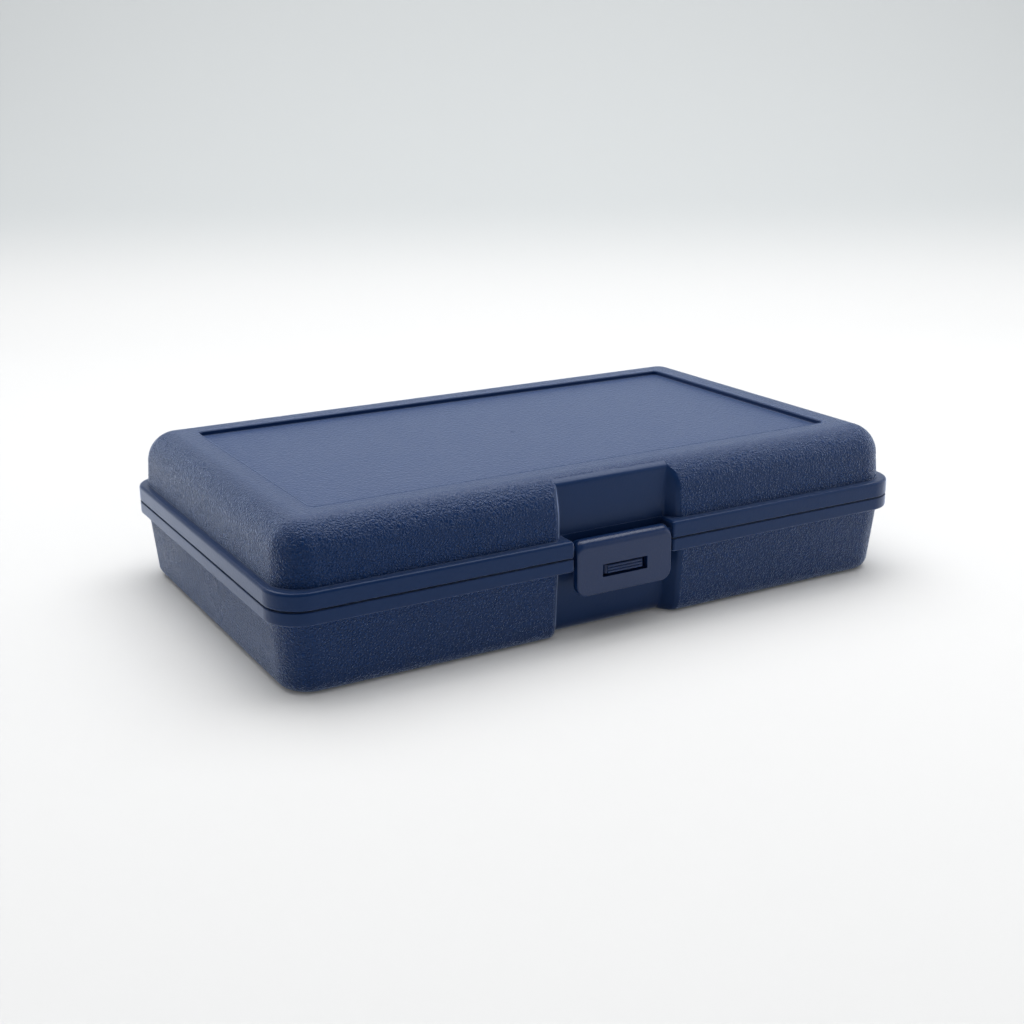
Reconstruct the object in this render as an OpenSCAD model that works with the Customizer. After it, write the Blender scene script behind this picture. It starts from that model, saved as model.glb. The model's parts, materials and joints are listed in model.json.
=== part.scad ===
// Pencil case: two moulded shells joined by pinned rear hinges and held shut
// by a flap latch that hangs on the lid and snaps over a ribbed catch.
// Origin: middle of the bottom face. X along the front, Y to the back, Z up.

/* [Case] */
// Length of the rims along the front
case_l = 210; // [190:1:240]
// Depth of the rims, front to back
case_d = 128; // [110:1:150]
// Height of the closed case
case_h = 47.2; // [44:0.2:56]
// Height of the parting line above the table
part_z = 25.2; // [24:0.2:27]
// Thickness of the moulded walls
wall = 2.2; // [1.8:0.1:2.6]

/* [Rims] */
// Corner radius of both rims
rim_corner = 10.4; // [10:0.2:14]
// Height of the lid's rim
lid_rim_h = 4.9; // [4.6:0.1:5.4]
// Height of the base's rim
base_rim_h = 3.8; // [3.6:0.1:5]
// Gap between the closed rims
rim_gap = 0.4; // [0.3:0.1:0.6]
// How far the rim stands out from the lid's wall
lid_over = 2.2; // [1.8:0.1:2.6]
// How far the rim stands out from the base's wall
base_over = 1.8; // [1.4:0.1:2.2]

/* [Walls] */
// Taper of the lid's walls, in degrees
lid_draft = 3.2; // [2:0.1:5]
// Taper of the base's walls, in degrees
base_draft = 4.6; // [2:0.1:5]
// Radius of the lid's domed edge
lid_edge = 9.4; // [6:0.2:9.6]
// Radius of the base's bottom edge
base_edge = 4; // [3:0.2:5]
// Corner radius of the walls, seen from above
wall_corner = 9.6; // [9.6:0.1:12]

/* [Top panel] */
// Length of the recessed panel in the lid
panel_l = 174.6; // [140:0.2:178]
// Depth of the recessed panel, front to back
panel_d = 92.6; // [70:0.2:96]
// How far the panel lies below the lid's top
panel_step = 1.4; // [0.8:0.1:2]
// Corner radius of the panel
panel_corner = 1.6; // [1:0.1:6]

/* [Latch] */
// Width of the latch flap
latch_w = 32.2; // [28:0.2:32.4]
// Thickness of the latch flap
latch_t = 2.4; // [2:0.1:2.5]
// Distance from the latch's pin down to its bottom edge
latch_drop = 13.9; // [13:0.1:18]
// Corner radius at the bottom of the latch
latch_corner = 3.4; // [2:0.1:6]
// Radius of the latch's rolled top edge
barrel_r = 2.5; // [2.3:0.1:2.5]
// Width of the window in the latch
window_w = 15.3; // [12:0.1:18]
// Height of the window in the latch
window_h = 3.8; // [3.6:0.1:4.2]

/* [Hinges] */
// Distance of each rear hinge from the middle
hinge_x = 58; // [40:1:70]
// Radius of the hinge knuckles
knuckle_r = 2.6; // [2.3:0.1:2.8]
// Length of the lid's knuckle
lid_knuckle = 14; // [10:0.5:20]
// Length of each of the base's knuckles
base_knuckle = 10; // [7:0.5:14]
// Radius of the hinge pins
hinge_pin_r = 1.1; // [0.9:0.05:1.3]

/* [Hidden] */
$fn = 64;

shell_blue = [0.13, 0.19, 0.33];
catch_blue = [0.18, 0.25, 0.40];
steel = [0.70, 0.71, 0.73];

// Faces that meet at the parting line
base_top = part_z - rim_gap / 2;
lid_low = part_z + rim_gap / 2;
rim_top = lid_low + lid_rim_h;

// Latch notch: a recess through both front walls, wider at its mouth
notch_in = latch_w / 2 + 1.1;      // half width at its back wall
notch_out = notch_in + 3.4;        // half width at the outer wall
notch_y = -case_d / 2 + 6.6;       // back wall in the lid
notch_set = 4.4;                   // how far the base's wall is set back
rim_end = latch_w / 2 + 0.8;       // half the gap between the rims' ends
bulge_x = notch_in + 3;            // half width of the bulge inside

// Latch pivot, inside the rolled edge of the flap
pivot_y = -case_d / 2 + 2.1;
pivot_z = lid_low + 1.8;
latch_face = pivot_y - barrel_r;
latch_pin_r = 0.95;
pin_reach = rim_end + 4.1;
window_z = pivot_z - 7.2;          // middle of the window

// Catch, clipped into the base behind the window
pad_y = notch_y - 0.8;             // flat pad that it sits on
catch_w = window_w - 1.7;
catch_h = window_h - 1.4;
catch_z = window_z + 0.1;

// Hinge axis, just behind the rims
hinge_y = case_d / 2 + knuckle_r + 0.4;
hinge_len = lid_knuckle + 2 * base_knuckle + 2 * 0.4;
running = 0.05;                    // radial clearance of a turning fit
held = 0.02;                       // radial clearance of a held pin

// Lap joint: a low ridge on the base inside a rebate in the lid
ridge_out = 3.0;
ridge_t = 1.0;
ridge_h = 1.8;
ridge_room = 0.4;

// Rounded rectangle, set in from the rims' outline
module outline(inset = 0) {
    r = rim_corner - inset;
    l = case_l - 2 * inset;
    d = case_d - 2 * inset;
    square([l - 2 * r, d], center = true);
    square([l, d - 2 * r], center = true);
    for (x = [-1, 1], y = [-1, 1])
        translate([x * (l / 2 - r), y * (d / 2 - r)]) circle(r);
}

// Round foot with a rolled lower edge, standing on z = 0
module rolled_foot(r, edge) {
    translate([0, 0, edge]) rotate_extrude() intersection() {
        translate([r - edge, 0]) circle(edge);
        translate([0, -edge]) square([r, edge]);
    }
}

// Tapered tub with rounded corners, its rolled bottom edge on z = 0
module tub(l, d, h, corner, edge, draft) {
    taper = (h - edge) * tan(draft);
    hull() for (x = [-1, 1], y = [-1, 1]) {
        translate([x * (l / 2 - corner), y * (d / 2 - corner), h - 0.01])
            cylinder(r = corner, h = 0.01);
        translate([x * (l / 2 - corner - taper), y * (d / 2 - corner - taper), 0])
            rolled_foot(corner, edge);
    }
}

// The base's tub, its walls moved in by inset and its floor lifted by lift
module base_tub(inset, lift = 0) {
    in = base_over + inset;
    r = max(wall_corner - min(inset, 3), 3);
    translate([0, 0, lift])
        tub(case_l - 2 * in, case_d - 2 * in, part_z - lift, r, base_edge - lift / 2, base_draft);
}

// The lid's tub, upside down, its walls and top moved in by inset
module lid_tub(inset = 0) {
    in = lid_over + inset;
    translate([0, 0, case_h - inset]) mirror([0, 0, 1])
        tub(case_l - 2 * in, case_d - 2 * in, case_h - inset - lid_low + 0.01 * inset,
            wall_corner - inset, lid_edge - inset, lid_draft);
}

// Flat rim, h high, with a rolled upper edge
module rim_plate(h, edge) {
    hull() for (x = [-1, 1], y = [-1, 1])
        translate([x * (case_l / 2 - rim_corner), y * (case_d / 2 - rim_corner), 0]) {
            cylinder(r = rim_corner, h = h - edge);
            rotate_extrude() translate([rim_corner - edge, h - edge]) circle(edge, $fn = 24);
        }
}

// The notch's opening, as a prism from the back wall out past the rims
module notch_prism(back, z0, z1) {
    mouth = -case_d / 2 + 2;
    translate([0, 0, z0]) linear_extrude(z1 - z0)
        polygon([[-notch_in, back], [notch_in, back], [notch_out, mouth], [notch_out, mouth - 6],
                 [-notch_out, mouth - 6], [-notch_out, mouth]]);
}

// Gap in a rim for the latch to hang in
module rim_cut(z0, z1) {
    translate([-rim_end, -case_d / 2 - 4, z0]) cube([2 * rim_end, notch_y + case_d / 2 + 4, z1 - z0]);
}

// Box at the front middle that keeps the walls behind the notch solid
module front_box(half, back, z0, z1) {
    translate([-half, -case_d / 2 - 2, z0]) cube([2 * half, back + case_d / 2 + 2, z1 - z0]);
}

// Rod or bore along X
module rod(x0, x1, y, z, r) {
    translate([x0, y, z]) rotate([0, 90, 0]) cylinder(r = r, h = x1 - x0);
}

// Rod whose ends are chamfered
module pin(x0, x1, y, z, r) {
    bevel = 0.3;
    rod(x0 + bevel, x1 - bevel, y, z, r);
    translate([x0, y, z]) rotate([0, 90, 0]) cylinder(r1 = r - bevel, r2 = r, h = bevel);
    translate([x1 - bevel, y, z]) rotate([0, 90, 0]) cylinder(r1 = r, r2 = r - bevel, h = bevel);
}

// One hinge knuckle with the web that ties it to its rim
module knuckle(x, len, z0, z1) {
    rod(x - len / 2, x + len / 2, hinge_y, part_z, knuckle_r);
    translate([x - len / 2, case_d / 2 - 1, z0]) cube([len, hinge_y - case_d / 2 + 1, z1 - z0]);
}

module ridge() {
    translate([0, 0, base_top - 0.5]) linear_extrude(ridge_h + 0.5) difference() {
        outline(ridge_out);
        outline(ridge_out + ridge_t);
        translate([-bulge_x - 2, -case_d]) square([2 * bulge_x + 4, case_d]);
        translate([-case_l, case_d / 2 - 16]) square([2 * case_l, 20]);
    }
}

module base_shell() {
    color(shell_blue) difference() {
        union() {
            difference() {
                base_tub(0);
                notch_prism(notch_y - 0.6, -1, part_z + 1);
                translate([0, 0, base_top]) linear_extrude(5) square([300, 200], center = true);
            }
            intersection() {
                base_tub(notch_set);
                front_box(notch_out, -30, 0, base_top);
            }
            translate([0, 0, base_top]) mirror([0, 0, 1]) rim_plate(base_rim_h, 0.6);
            for (s = [-1, 1], k = [-1, 1])
                knuckle(s * hinge_x + k * (lid_knuckle + base_knuckle + 0.8) / 2, base_knuckle,
                        part_z - knuckle_r, base_top);
        }
        base_room();
        rim_cut(base_top - base_rim_h - 1, part_z + 1);
        for (s = [-1, 1])
            rod(s * hinge_x - hinge_len / 2 - 1, s * hinge_x + hinge_len / 2 + 1,
                hinge_y, part_z, hinge_pin_r + held);
        // slot for the catch's legs
        translate([-5, notch_y - 3, catch_z - 1.7]) cube([10, 8, 3.4]);
    }
    color(shell_blue) ridge();
    // flat pad round the catch's slot
    color(shell_blue) difference() {
        translate([-9.5, pad_y, catch_z - 4.6]) cube([19, 1.6, 8.8]);
        translate([-5, pad_y - 1, catch_z - 1.7]) cube([10, 4, 3.4]);
    }
}

// Room inside the base, with the wall behind the notch left standing
module base_room() {
    difference() {
        base_tub(wall, wall);
        translate([-bulge_x, 0, 0]) rotate([90, 0, 90]) linear_extrude(2 * bulge_x)
            polygon([[-case_d / 2, 0], [notch_y + 4.2, 0], [notch_y + 2.6, part_z + 1],
                     [-case_d / 2, part_z + 1]]);
    }
}

// Room inside the lid, with the notch's wall and the sunk panel left standing
module lid_room() {
    ceiling = case_h - panel_step - wall + 0.2;
    difference() {
        lid_tub(wall);
        front_box(bulge_x, notch_y + wall + 0.2, 0, case_h);
        translate([-panel_l / 2 - 1, -panel_d / 2 - 1, ceiling]) cube([panel_l + 2, panel_d + 2, 10]);
    }
    // rebate round the base's ridge
    translate([0, 0, lid_low - 1]) linear_extrude(ridge_h - rim_gap + ridge_room + 1) difference() {
        outline(ridge_out - ridge_room);
        translate([-bulge_x, -case_d]) square([2 * bulge_x, case_d]);
        translate([-case_l, case_d / 2 - 14]) square([2 * case_l, 20]);
    }
}

module lid_shell() {
    color(shell_blue) difference() {
        union() {
            difference() {
                lid_tub();
                notch_prism(notch_y, 0, case_h + 1);
            }
            translate([0, 0, lid_low]) rim_plate(lid_rim_h, 1);
            for (s = [-1, 1])
                knuckle(s * hinge_x, lid_knuckle, lid_low, part_z + knuckle_r);
        }
        lid_room();
        rim_cut(0, rim_top + 1);
        // sunk top panel
        translate([0, 0, case_h - panel_step]) linear_extrude(5) {
            square([panel_l - 2 * panel_corner, panel_d], center = true);
            square([panel_l, panel_d - 2 * panel_corner], center = true);
            for (x = [-1, 1], y = [-1, 1])
                translate([x * (panel_l / 2 - panel_corner), y * (panel_d / 2 - panel_corner)])
                    circle(panel_corner);
        }
        rod(-pin_reach - 0.2, pin_reach + 0.2, pivot_y, pivot_z, latch_pin_r + held);
        for (s = [-1, 1])
            rod(s * hinge_x - hinge_len / 2, s * hinge_x + hinge_len / 2,
                hinge_y, part_z, hinge_pin_r + running);
    }
}

module latch() {
    low = pivot_z - latch_drop;
    color(shell_blue) difference() {
        union() {
            rod(-latch_w / 2, latch_w / 2, pivot_y, pivot_z, barrel_r);
            // flap, with rounded lower corners
            translate([0, latch_face + latch_t, 0]) rotate([90, 0, 0]) linear_extrude(latch_t) {
                translate([-latch_w / 2, low + latch_corner])
                    square([latch_w, latch_drop - latch_corner]);
                translate([-latch_w / 2 + latch_corner, low])
                    square([latch_w - 2 * latch_corner, latch_drop]);
                for (x = [-1, 1])
                    translate([x * (latch_w / 2 - latch_corner), low + latch_corner])
                        circle(latch_corner);
            }
        }
        translate([-window_w / 2, latch_face - 1, window_z - window_h / 2])
            cube([window_w, latch_t + 2, window_h]);
        rod(-latch_w, latch_w, pivot_y, pivot_z, latch_pin_r + running);
    }
}

module latch_pin() {
    color(shell_blue) pin(-pin_reach, pin_reach, pivot_y, pivot_z, latch_pin_r);
}

// Ribbed tongue on a flange, with a barbed leg through the base's wall
module catch() {
    face = latch_face + 0.1;
    ribs = 3;
    pitch = catch_h / ribs;
    color(catch_blue) union() {
        // flange and tongue
        translate([-8.6, pad_y - 1.2, catch_z - 3.8]) cube([17.2, 1.2, 7.4]);
        translate([-catch_w / 2, face + 0.35, catch_z - catch_h / 2])
            cube([catch_w, pad_y - 1 - face - 0.35, catch_h]);
        // ribs along the face
        for (i = [0 : ribs - 1])
            rod(-catch_w / 2 + 0.3, catch_w / 2 - 0.3, face + pitch / 2,
                catch_z - catch_h / 2 + (i + 0.5) * pitch, pitch / 2);
        // leg and barb
        translate([-4.7, pad_y - 0.1, catch_z - 1.4]) cube([9.4, notch_y + 4.3 - pad_y, 2.8]);
        translate([-4.7, notch_y + 3.4, catch_z - 2]) cube([9.4, 0.8, 4]);
    }
}

module hinge_pin(s) {
    color(steel) pin(s * hinge_x - hinge_len / 2, s * hinge_x + hinge_len / 2,
                     hinge_y, part_z, hinge_pin_r);
}
module hinge_pin_left() { hinge_pin(-1); }
module hinge_pin_right() { hinge_pin(1); }

base_shell();
lid_shell();
latch();
latch_pin();
catch();
hinge_pin_left();
hinge_pin_right();
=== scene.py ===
"""Pencil case: two moulded shells, a flap latch over a ribbed catch, and pinned rear hinges.

Every size is in metres, in the same frame as the packed model: X along the front,
Y from the latch to the hinges, Z up, with the origin in the middle of the bottom face.
"""

import json
import math

import bmesh
import bpy
import numpy as np
from bpy.props import FloatProperty, FloatVectorProperty, IntProperty, PointerProperty
from mathutils import Matrix, Vector
from mathutils.kdtree import KDTree


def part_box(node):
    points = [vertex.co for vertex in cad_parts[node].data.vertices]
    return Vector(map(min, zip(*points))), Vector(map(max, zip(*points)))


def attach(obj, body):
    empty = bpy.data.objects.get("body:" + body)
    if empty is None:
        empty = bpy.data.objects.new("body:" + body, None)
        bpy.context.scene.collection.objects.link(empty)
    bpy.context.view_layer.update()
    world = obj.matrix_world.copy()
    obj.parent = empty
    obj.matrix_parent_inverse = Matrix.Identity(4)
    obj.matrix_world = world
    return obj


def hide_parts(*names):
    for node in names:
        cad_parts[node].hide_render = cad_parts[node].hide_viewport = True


bl_info = {
    "name": "Pencil case",
    "version": (1, 0, 0),
    "blender": (4, 5, 0),
    "location": "View3D > Sidebar > Pencil case",
    "description": "Builds a hinged moulded pencil case around its packed model",
    "category": "Object",
}

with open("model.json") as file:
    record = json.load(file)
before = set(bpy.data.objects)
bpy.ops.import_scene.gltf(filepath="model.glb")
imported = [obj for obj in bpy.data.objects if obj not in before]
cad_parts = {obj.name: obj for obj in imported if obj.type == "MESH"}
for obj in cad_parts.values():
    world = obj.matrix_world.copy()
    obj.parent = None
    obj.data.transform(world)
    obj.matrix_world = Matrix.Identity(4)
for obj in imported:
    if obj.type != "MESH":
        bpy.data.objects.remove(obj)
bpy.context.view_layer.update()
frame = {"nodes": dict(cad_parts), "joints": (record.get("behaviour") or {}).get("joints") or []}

MM = 0.001
BASE_LOW, BASE_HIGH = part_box("base_shell")
LID_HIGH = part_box("lid_shell")[1]
LATCH_LOW, LATCH_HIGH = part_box("latch")
CATCH_LOW, CATCH_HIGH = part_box("catch")
PIN_LOW, PIN_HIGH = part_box("hinge_pin_right")
PIVOTS = {joint["name"]: Vector(joint["pos_m"]) for joint in frame["joints"]}
HINGE = PIVOTS["lid_hinge"]
PIVOT = PIVOTS["latch_pivot"]

HALF_L = BASE_HIGH.x            # half the rims' length
HALF_D = -BASE_LOW.y            # half the rims' depth
CASE_H = LID_HIGH.z             # height of the closed case
PARTING = HINGE.z               # height of the parting line

PIN_HOLD = 0.02 * MM            # clearance round a pin in the part that holds it
PIN_RUN = 0.05 * MM             # clearance round a pin in the part that turns on it
KNUCKLE_GAPS = 0.8 * MM         # both gaps between a hinge's three knuckles
LID_KNUCKLE, HINGE_LONG = 14, 34.8    # lengths in millimetres that share out a hinge
GRAIN_TOP = 0.3                 # share of the walls' grain on the lid's flat top
POLISHED = 0.74                 # how much darker the plastic looks where the mould is polished
DUST = (0.5, 0.52, 0.55, 1.0)


# ---------------------------------------------------------------- settings

def length(name, about, mm, low=0.0, high=0.3):
    """A length property whose default is given in millimetres."""
    return FloatProperty(name=name, description=about, default=mm * MM, min=low, max=high,
                         subtype="DISTANCE", unit="LENGTH", precision=5)


def angle(name, about, degrees):
    """An angle property whose default is given in degrees."""
    return FloatProperty(name=name, description=about, default=math.radians(degrees),
                         subtype="ANGLE", unit="ROTATION")


def colour(name, about, rgb):
    """A linear colour property."""
    return FloatVectorProperty(name=name, description=about, default=rgb, min=0, max=1,
                               size=3, subtype="COLOR")


def share(name, about, value, low=0.0, high=1.0):
    """A plain number property."""
    return FloatProperty(name=name, description=about, default=value, min=low, max=high)


class ShellSettings(bpy.types.PropertyGroup):
    """Sizes of the two moulded shells"""
    wall: length("Wall", "Thickness of the moulded walls", 2.2)
    gap: length("Rim gap", "Gap between the closed rims", 0.4)
    rim_corner: length("Rim corner", "Corner radius of both rims", 10.4)
    lid_rim: length("Lid rim height", "Height of the lid's rim", 4.9)
    base_rim: length("Base rim height", "Height of the base's rim", 3.8)
    lid_over: length("Lid overhang", "How far the rim stands out from the lid's wall", 2.2)
    base_over: length("Base overhang", "How far the rim stands out from the base's wall", 1.8)
    lid_draft: angle("Lid draft", "Taper of the lid's walls", 3.2)
    base_draft: angle("Base draft", "Taper of the base's walls", 4.6)
    lid_edge: length("Dome edge", "Radius of the lid's domed edge", 9.4)
    base_edge: length("Bottom edge", "Radius of the base's bottom edge", 4.0)
    wall_corner: length("Wall corner", "Corner radius of the walls seen from above", 9.6)
    panel_margin: length("Panel margin", "Distance from the rim's outline to the sunk panel", 17.7)
    panel_step: length("Panel step", "How far the panel lies below the lid's top", 1.4)
    panel_corner: length("Panel corner", "Corner radius of the sunk panel", 1.6)
    notch_half: length("Notch half width", "Half width of the latch notch at its back wall", 17.8)
    notch_back: length("Notch depth", "Depth of the latch notch behind the rim's face", 6.6)
    notch_set: length("Notch set-back", "How far the notch sets the base's wall back", 4.4)
    notch_splay: share("Notch splay", "Sideways run of the notch's sides for each unit of depth", 0.66)
    notch_widen: length("Notch widening", "How far the lid's notch widens on each side towards its top", 1.2)
    base_widen: length("Base notch widening", "How much wider the base's notch is on each side", 0.45)
    strip: length("Smooth strip", "Setback of the line where the grain stops above the notch", 8.6)
    strip_step: length("Strip step", "How far the smooth strip above the notch lies below the grain", 0.14)
    rim_end: length("Rim end", "Half the gap between the rims' ends", 16.9)
    steps: IntProperty(name="Round steps", description="Faces round a quarter turn of a large corner",
                       default=16, min=6, max=32)


class LatchSettings(bpy.types.PropertyGroup):
    """Sizes of the latch flap"""
    thick: length("Flap thickness", "Thickness of the latch flap", 2.4)
    low_corner: length("Lower corner", "Corner radius at the flap's lower edge", 3.4)
    top_corner: length("Upper corner", "Corner radius at the flap's rolled edge", 2.4)
    soft_edge: length("Soft edge", "Radius along the flap's edges", 0.45)
    window_w: length("Window width", "Width of the window", 15.3)
    window_h: length("Window height", "Height of the window", 3.8)
    window_drop: length("Window drop", "Distance from the pin down to the middle of the window", 7.2)


class CatchSettings(bpy.types.PropertyGroup):
    """Sizes of the ribbed catch"""
    ribs: IntProperty(name="Ribs", description="Number of ribs along the catch's face",
                      default=3, min=2, max=6)
    inset: length("Rib setback", "How far the ribs end short of the tongue's ends", 0.3)
    bevel: length("End bevel", "Bevel at the tongue's ends", 0.8)


class MarkSettings(bpy.types.PropertyGroup):
    """Marks that the mould leaves"""
    radius: length("Ejector radius", "Radius of an ejector pin's mark", 3.0)
    rise: length("Ejector rise", "Height that a mark stands above the surface", 0.12)
    gate: length("Gate radius", "Radius of the gate's mark on the panel", 0.7)
    columns: IntProperty(name="Columns", description="Marks along the case", default=4, min=1, max=8)
    rows: IntProperty(name="Rows", description="Marks across the case", default=2, min=1, max=5)


class FinishSettings(bpy.types.PropertyGroup):
    """Colours and surface of the plastic and the pins"""
    plastic: colour("Plastic", "Colour of the navy plastic", (0.0062, 0.034, 0.132))
    steel: colour("Steel", "Colour of the hinge pins", (0.56, 0.57, 0.59))
    cell: length("Grain size", "Width of one cell of the leather-like grain", 1.0)
    depth: length("Grain depth", "Depth of the leather-like grain", 0.27)
    matte_size: length("Panel grain size", "Size of the panel's fine grain", 0.62)
    matte_depth: length("Panel grain depth", "Depth of the panel's fine grain", 0.27)
    smooth_rough: share("Smooth roughness", "Roughness of the smooth rims and latch", 0.30)
    grain_rough: share("Grain roughness", "Roughness of the grained walls", 0.27)
    panel_rough: share("Panel roughness", "Roughness of the sunk panel", 0.34)
    index: FloatProperty(name="Refraction", description="Index of refraction of the plastic",
                         default=1.50, min=1.0, max=2.0)
    glint: colour("Glint", "Tint of the plastic's gloss seen square on", (0.35, 0.42, 0.55))
    latch_glint: colour("Latch glint", "Tint of the latch's gloss seen square on", (0.85, 0.87, 0.95))
    haze: share("Haze", "Bluish sheen of the grained plastic at a low angle", 1.0)


class StageSettings(bpy.types.PropertyGroup):
    """Floor, lights and camera"""
    heading: angle("Camera heading", "Direction the camera looks, clockwise from +Y", 29.62)
    pitch: angle("Camera pitch", "How far the camera looks down", 17.38)
    roll: angle("Camera roll", "Turn of the camera about its own axis", -0.54)
    place: FloatVectorProperty(name="Camera place", description="Where the camera stands",
                               default=(-0.2240, -0.3932, 0.1607), subtype="TRANSLATION",
                               unit="LENGTH")
    lens: FloatProperty(name="Lens", description="Focal length in millimetres", default=51.8,
                        min=20, max=200)
    ambient: share("Ambient", "Strength of the even light from all round", 0.135, 0, 5)
    overhead: share("Overhead", "Power of the overhead softbox in watts", 12.8, 0, 200)
    left: share("Left panel", "Power of the left light panel in watts", 0.5, 0, 200)
    right: share("Right panel", "Power of the right light panel in watts", 1.2, 0, 200)
    back: share("Back light", "Power of the light on the backdrop in watts", 1.0, 0, 200)
    wash: share("Sweep wash", "Power of the light that falls on the sweep alone in watts", 24.0, 0, 200)
    floor_tone: share("Floor tone", "How pale the sweep is", 0.54)


# ---------------------------------------------------------------- outlines and skins

def bend(start, corner, end, steps):
    """Points of the round that joins two tangent points about a corner, ends included."""
    a, c, b = (np.array(p, float) for p in (start, corner, end))
    into, out = c - a, b - c
    size = np.linalg.norm(into) * np.linalg.norm(out)
    cosine = float(into @ out) / size if size > 0 else 1.0
    weight = math.sqrt(max(1 + cosine, 0) / 2)
    t = np.linspace(0, 1, steps + 1)[:, None]
    share_a, share_c, share_b = (1 - t) ** 2, 2 * weight * t * (1 - t), t ** 2
    return (share_a * a + share_c * c + share_b * b) / (share_a + share_c + share_b)


def line(start, end, steps):
    """Points from start towards end, without the end."""
    t = np.linspace(0, 1, steps + 1)[:-1, None]
    return (1 - t) * np.array(start, float) + t * np.array(end, float)


def soft_back(front, back, softness):
    """Y of the notch's back wall, easing into the wall's own y where the notch runs out."""
    x = min((back - front) / softness, 60.0)
    return front + softness * math.log1p(math.exp(x))


def outline(inset, corner, inner, splay, back, inner_round, mouth_round, steps=16):
    """A closed ring seen from above, anticlockwise from the front middle, with the latch notch in it.

    inner is the notch's half width at its back wall and back that wall's y. Also returns how far
    each point belongs to the plain walls: 0 inside the notch, 1 outside it."""
    w, d = HALF_L - inset, HALF_D - inset
    r = max(corner, 0.2 * MM)
    front = -d
    mouth = inner + splay * (back - front)
    at_back, at_mouth = np.array([inner, back]), np.array([mouth, front])
    side = at_mouth - at_back
    run = max(np.linalg.norm(side), 1e-9)
    turn = math.acos(max(-1.0, min(1.0, side[0] / run)))
    t_in, t_out = inner_round * math.tan(turn / 2), mouth_round * math.tan(turn / 2)
    fit = min(1.0, 0.9 * run / max(t_in + t_out, 1e-9))
    t_in, t_out = t_in * fit, t_out * fit
    unit = side / run
    leave, arrive = at_back + unit * t_in, at_mouth - unit * t_out
    half = [
        (line((0, back), (inner - t_in, back), 8), 0.0),
        (bend((inner - t_in, back), at_back, leave, 8)[:-1], 0.0),
        (line(leave, arrive, 4), 0.0),
        (bend(arrive, at_mouth, (mouth + t_out, front), 8)[:-1], None),
        (line((mouth + t_out, front), (w - r, front), 14), 1.0),
        (bend((w - r, -d), (w, -d), (w, -d + r), steps)[:-1], 1.0),
        (line((w, -d + r), (w, d - r), 12), 1.0),
        (bend((w, d - r), (w, d), (w - r, d), steps)[:-1], 1.0),
        (line((w - r, d), (0, d), 18), 1.0),
        (np.array([[0, d]]), 1.0),
    ]
    plain = np.concatenate([np.clip(np.linspace(-2.2, 1, len(p)), 0, 1) if s is None
                            else np.full(len(p), s) for p, s in half])
    right = np.concatenate([p for p, _ in half])
    left = right[-2:0:-1] * np.array([-1, 1])
    return np.concatenate([right, left]), np.concatenate([plain, plain[-2:0:-1]])


def write_masks(me, masks):
    """Stores each mask as a point attribute of the mesh."""
    for label, values in masks.items():
        if label in me.attributes:
            me.attributes.remove(me.attributes[label])
        layer = me.attributes.new(label, "FLOAT", "POINT")
        layer.data.foreach_set("value", values.astype(np.float32))


class Skin:
    """A closed shell made of rings from one flat cap to the other."""

    def __init__(self):
        self.rings, self.grain, self.panel = [], [], []

    def add(self, ring, z, grain=0.0, panel=0.0):
        """Adds one ring at height z, which may differ from point to point."""
        xy, plain = ring
        self.rings.append(np.column_stack([xy, np.broadcast_to(z, len(xy))]))
        self.grain.append(grain * plain)
        self.panel.append(np.full(len(xy), float(panel)))

    def masks(self):
        """The grain and panel masks of all points."""
        return {"grain": np.concatenate(self.grain), "panel": np.concatenate(self.panel)}

    def mesh(self, name):
        """The shell as a mesh, with its masks as point attributes."""
        count = len(self.rings[0])
        me = bpy.data.meshes.new(name)
        near = np.arange(count)
        far = np.roll(near, -1)
        faces = []
        for i in range(len(self.rings) - 1):
            a, b = i * count, (i + 1) * count
            faces += np.column_stack([a + near, b + near, b + far, a + far]).tolist()
        faces.append(near.tolist())
        faces.append(((len(self.rings) - 1) * count + near)[::-1].tolist())
        me.from_pydata(np.concatenate(self.rings).tolist(), [], faces)
        write_masks(me, self.masks())
        bm = bmesh.new()
        bm.from_mesh(me)
        bmesh.ops.remove_doubles(bm, verts=bm.verts, dist=1e-6)
        bmesh.ops.dissolve_degenerate(bm, edges=bm.edges, dist=1e-7)
        bm.to_mesh(me)
        bm.free()
        return me


def profile(*parts):
    """Joins stretches of (inset, z) points into one list, leaving out repeats."""
    points = []
    for part in parts:
        for p in np.atleast_2d(part):
            if not points or np.linalg.norm(p - points[-1]) > 1e-7:
                points.append(np.array(p, float))
    return points


# ---------------------------------------------------------------- mesh helpers

def new_object(name, me):
    """An object in the scene that holds the mesh."""
    obj = bpy.data.objects.new(name, me)
    bpy.context.scene.collection.objects.link(obj)
    return obj


def finished(name, obj):
    """Bakes an object's modifiers into a plain mesh under its final name."""
    bpy.context.view_layer.update()
    me = bpy.data.meshes.new_from_object(obj.evaluated_get(bpy.context.evaluated_depsgraph_get()))
    old = obj.data
    bpy.data.objects.remove(obj)
    if old.users == 0:
        bpy.data.meshes.remove(old)
    me.name = name
    return new_object(name, me)


def joined(meshes, name):
    """One mesh that holds several, each a closed body of its own."""
    bm = bmesh.new()
    for me in meshes:
        bm.from_mesh(me)
    out = bpy.data.meshes.new(name)
    bm.to_mesh(out)
    bm.free()
    return out


def combined(name, body, tools, operation):
    """body united with, or cut by, the tool meshes."""
    obj = new_object(name + "_work", body)
    helpers = []
    for me in tools:
        helper = new_object(name + "_tool", me)
        cut = obj.modifiers.new("Combine", "BOOLEAN")
        cut.operation, cut.object, cut.solver = operation, helper, "EXACT"
        helpers.append(helper)
    result = finished(name, obj)
    for helper in helpers:
        me = helper.data
        bpy.data.objects.remove(helper)
        bpy.data.meshes.remove(me)
    me = result.data
    bpy.data.objects.remove(result)
    return me


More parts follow.
